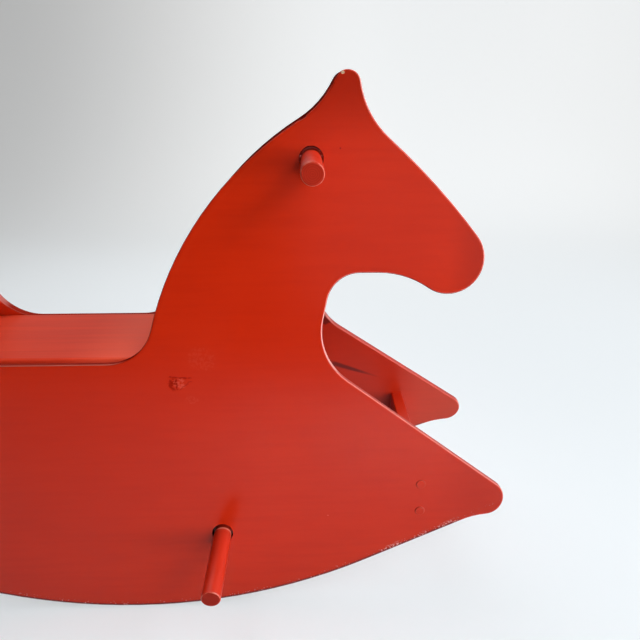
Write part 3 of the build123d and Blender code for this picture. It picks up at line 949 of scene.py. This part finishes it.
def paper():
    """Pale paper that glows to the eye and in reflections, most on the wall at the right, with a painted
    shadow under the horse.
    """
    tree = Tree("pale_paper")
    path = tree.nodes.new("ShaderNodeLightPath")
    rays = ("Is Camera Ray", "Is Glossy Ray", "Is Transmission Ray")
    seen = tree.either(*(path.outputs[ray] for ray in rays))
    far = tree.ramp(tree.y, *FLOOR_TO_WALL_Y)
    wall = tree.add(
        tree.ramp(tree.x, *WALL_RIGHT_X, WALL_GLOW_LEFT, WALL_GLOW_RIGHT),
        tree.ramp(tree.x, *WALL_MORE_X, 0.0, WALL_GLOW_MORE),
        tree.ramp(tree.x, *WALL_END_X, 0.0, WALL_GLOW_END),
    )
    # Painted shadow: the glow dims under the horse
    shaded = tree.ramp(tree.hypot(tree.less(tree.x, SHADE_X), tree.y), SHADE_REACH, SHADE_CORE)
    floor = tree.times(
        tree.ramp(tree.y, *FLOOR_BACK_Y, FLOOR_GLOW_FRONT, FLOOR_GLOW_BACK),
        tree.ramp(tree.x, *FLOOR_LEFT_X, FLOOR_GLOW_LEFT, 1.0),
        tree.inverse(shaded),
    )
    glow = tree.add(tree.times(far, wall), tree.times(tree.inverse(far), floor))
    wall_colour = tree.mix(tree.ramp(tree.x, *WALL_COLOUR_X), WARM_GLOW, WALL_GLOW)
    tree.feed(tree.shader.inputs["Emission Color"], tree.mix(far, COOL_GLOW, wall_colour))
    tree.feed(tree.shader.inputs["Emission Strength"], tree.times(glow, seen))
    # Painted shadow: darker paper under the horse
    colour = tree.mix(shaded, PAPER, SHADED_PAPER)
    normal = tree.bump(tree.noise(PAPER_TOOTH), PAPER_RELIEF)
    return tree.finish(colour, PAPER_ROUGHNESS, normal, specular=0.1)


def backdrop():
    sheet = bpy.data.objects.new("backdrop", backdrop_mesh())
    sheet.data.materials.append(paper())
    bpy.context.scene.collection.objects.link(sheet)


backdrop()


# Light: windows at the right and in front, light from overhead, and fill lamps that no gloss mirrors

ROOM = (0.74, 0.77, 0.79)


def window(name, place, aim, size, power, spread=180.0, mirrored=True):
    """A soft lamp that faces a point, with its width and height in metres and its power in watts."""
    light = bpy.data.lights.new(name, "AREA")
    light.shape = "RECTANGLE"
    light.size, light.size_y = size
    light.energy = power
    light.spread = math.radians(spread)
    lamp = bpy.data.objects.new(name, light)
    lamp.location = place
    lamp.rotation_euler = (Vector(aim) - Vector(place)).to_track_quat("-Z", "Y").to_euler()
    lamp.visible_camera = False
    lamp.visible_glossy = mirrored
    bpy.context.scene.collection.objects.link(lamp)


window("window", (1.2, -1.22, 1.24), aim=(0.24, -0.05, 0.28), size=(1.0, 1.1), power=0.8)
window("spot", (1.2, -1.22, 1.24), aim=(0.16, -0.08, 0.25), size=(0.6, 0.6), power=0.45, spread=28.0)
window("low_window", (1.5, -1.2, 0.35), aim=(0.2, -0.08, 0.25), size=(1.1, 1.1), power=2.35, spread=50.0)
window("low_spot", (1.5, -1.2, 0.3), aim=(0.2, -0.08, 0.25), size=(0.6, 0.6), power=0.16, spread=30.0)
window("right_window", (1.75, 0.3, 1.2), aim=(0.2, -0.05, 0.3), size=(1.4, 0.9), power=8.4)
window("right_front", (1.5, -0.45, 1.2), aim=(0.15, -0.1, 0.25), size=(0.8, 0.8), power=7.0)
window("ceiling", (0.3, 0.3, 2.6), aim=(0.1, 0.0, 0.3), size=(2.2, 2.2), power=4.0)
window("left_ceiling", (-0.3, 0.2, 2.3), aim=(-0.1, 0.0, 0.3), size=(1.2, 1.2), power=5.7)
window("left_back", (-0.5, 0.7, 2.2), aim=(-0.1, 0.0, 0.3), size=(1.0, 1.0), power=14.9)
window("pale_wall", (0.9, -2.6, 0.75), aim=(0.9, 0.0, 0.75), size=(1.4, 1.1), power=3.4)
window("high_front", (0.8, -1.2, 1.7), aim=(0.12, -0.1, 0.25), size=(0.9, 0.9), power=6.3, mirrored=False)
window(
    "back_window", (-0.5, 1.7, 0.5), aim=(0.0, 0.1, 0.3), size=(0.8, 0.8), power=0.6,
    spread=40.0, mirrored=False,
)
window("floor_light", (0.42, -0.85, 1.6), aim=(0.42, -0.85, 0.0), size=(0.5, 0.5), power=2.6, spread=35.0)


def room():
    """A pale room to the eye, which adds no light: the lamps alone light the horse."""
    world = bpy.data.worlds.new("room")
    world.use_nodes = True
    tree = world.node_tree
    background = tree.nodes["Background"]
    background.inputs["Color"].default_value = (*ROOM, 1)
    path = tree.nodes.new("ShaderNodeLightPath")
    tree.links.new(path.outputs["Is Camera Ray"], background.inputs["Strength"])
    bpy.context.scene.world = world


room()


# Camera, at the photograph's own viewpoint

FOCAL_PIXELS = 530.0
IMAGE_PIXELS = 640.0
SENSOR = 36.0
CAMERA_PLACE = (0.2076, -0.5704, 0.5605)
CAMERA_PITCH = math.radians(23.215)
CAMERA_YAW = math.radians(1.486)


def camera():
    data = bpy.data.cameras.new("camera")
    data.sensor_width = SENSOR
    data.lens = FOCAL_PIXELS / IMAGE_PIXELS * SENSOR
    eye = bpy.data.objects.new("camera", data)
    eye.location = CAMERA_PLACE
    eye.rotation_euler = (math.pi / 2 - CAMERA_PITCH, 0.0, -CAMERA_YAW)
    bpy.context.scene.collection.objects.link(eye)
    bpy.context.scene.camera = eye


camera()
bpy.context.scene.view_settings.view_transform = "Standard"
